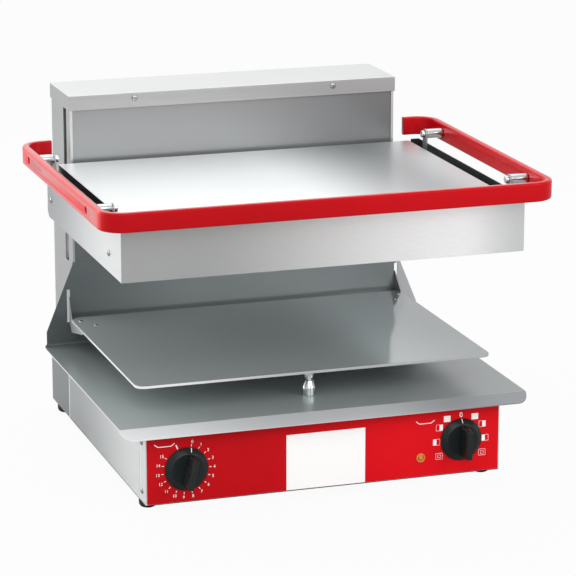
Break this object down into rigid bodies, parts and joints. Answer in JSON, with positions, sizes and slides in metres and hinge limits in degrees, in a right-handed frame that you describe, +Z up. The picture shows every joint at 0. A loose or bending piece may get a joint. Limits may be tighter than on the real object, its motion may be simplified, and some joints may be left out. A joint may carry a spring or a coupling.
{
  "type": "salamander grill",
  "caption": "Countertop lift salamander grill: stainless heating hood with red handle rail on a rear column, above a hinged plate shelf and a work deck.",
  "frame": {"origin": "on the supporting surface, under the middle of the bounding box", "axes": "+X to the user's right across the width, +Y from the front towards the column, +Z up"},
  "size_m": [0.674, 0.6152, 0.5235],
  "materials": {
    "stainless_sheet": "fine brushed, satin",
    "zinc_plated_steel": "dull plated",
    "bright_metal": "polished",
    "red_enamel": "gloss powder coat",
    "black_paint": "satin",
    "black_plastic": "satin moulded",
    "pale_plastic": "moulded",
    "black_rubber": "matt",
    "amber_lens": "glossy, translucent",
    "ceramic_fibre": "fibrous",
    "element_sheath": "dark oxidised sheath"
  },
  "bodies": {
    "cabinet": {"base_shell": "stainless_sheet", "front_tray": "stainless_sheet", "fascia_panel": "red_enamel", "deck_sheet": "stainless_sheet", "column_side_left": "stainless_sheet", "column_side_right": "stainless_sheet", "column_back": "stainless_sheet", "column_cap": "stainless_sheet", "foot_front_left": "black_rubber", "foot_front_right": "black_rubber", "foot_rear_left": "black_rubber", "foot_rear_right": "black_rubber", "guide_rod_left": "bright_metal", "guide_rod_right": "bright_metal", "rod_crossbar": "zinc_plated_steel", "gas_cylinder_left": "black_paint", "gas_cylinder_right": "black_paint", "timer_unit": "pale_plastic", "selector_switch": "pale_plastic", "pilot_lamp": "amber_lens", "sensor_bush": "bright_metal", "sensor_housing": "zinc_plated_steel", "sensor_spring": "bright_metal", "sensor_microswitch": "black_plastic", "terminal_block": "pale_plastic", "cable_gland": "black_plastic"},
    "hood": {"hood_shell": "stainless_sheet", "hood_cover": "stainless_sheet", "hood_rear_panel": "stainless_sheet", "heater_tray": "stainless_sheet", "insulation_slab": "ceramic_fibre", "heating_element_left": "element_sheath", "heating_element_right": "element_sheath", "element_guard": "bright_metal", "handle_rail": "red_enamel", "lift_carriage": "zinc_plated_steel", "lift_arm_left": "zinc_plated_steel", "lift_arm_right": "zinc_plated_steel", "gas_rod_left": "bright_metal", "gas_rod_right": "bright_metal", "rail_lug_front_left": "zinc_plated_steel", "rail_lug_front_right": "zinc_plated_steel", "rail_lug_rear_left": "zinc_plated_steel", "rail_lug_rear_right": "zinc_plated_steel", "rail_spacer_front_left": "bright_metal", "rail_spacer_front_right": "bright_metal", "rail_spacer_rear_left": "bright_metal", "rail_spacer_rear_right": "bright_metal", "rail_bolt_front_left": "bright_metal", "rail_bolt_front_right": "bright_metal", "rail_bolt_rear_left": "bright_metal", "rail_bolt_rear_right": "bright_metal"},
    "plate_shelf": {"plate_shelf": "stainless_sheet", "shelf_bracket_left": "zinc_plated_steel", "shelf_bracket_right": "zinc_plated_steel"},
    "plunger": {"sensor_plunger": "bright_metal"},
    "timer_knob": {"timer_knob": "black_plastic"},
    "selector_knob": {"selector_knob": "black_plastic"}
  },
  "joints": [
    {"name": "hood_lift", "type": "slide", "parent": "cabinet", "child": "hood", "axis": [0, 0, 1], "range_m": [-0.105, 0.085]},
    {"name": "shelf_tilt", "type": "hinge", "parent": "cabinet", "child": "plate_shelf", "pos_m": [0, 0.18135, 0.1688], "axis": [1, 0, 0], "range_deg": [0, 0.45]},
    {"name": "plunger_slide", "type": "slide", "parent": "cabinet", "child": "plunger", "axis": [0, 0, 1], "range_m": [-0.003, 0], "stiffness_N_per_m": 3000, "springref_m": 0.008, "deforming": ["sensor_spring"]},
    {"name": "timer_turn", "type": "hinge", "parent": "cabinet", "child": "timer_knob", "pos_m": [-0.2095, -0.26365, 0.0635], "axis": [0, 1, 0], "range_deg": [0, 325]},
    {"name": "selector_turn", "type": "hinge", "parent": "cabinet", "child": "selector_knob", "pos_m": [0.2085, -0.26365, 0.066], "axis": [0, 1, 0], "range_deg": [-120, 120]}
  ],
  "couplings": [
    {"joint": "plunger_slide", "follows": "shelf_tilt", "m_per_rad": -0.367}
  ]
}
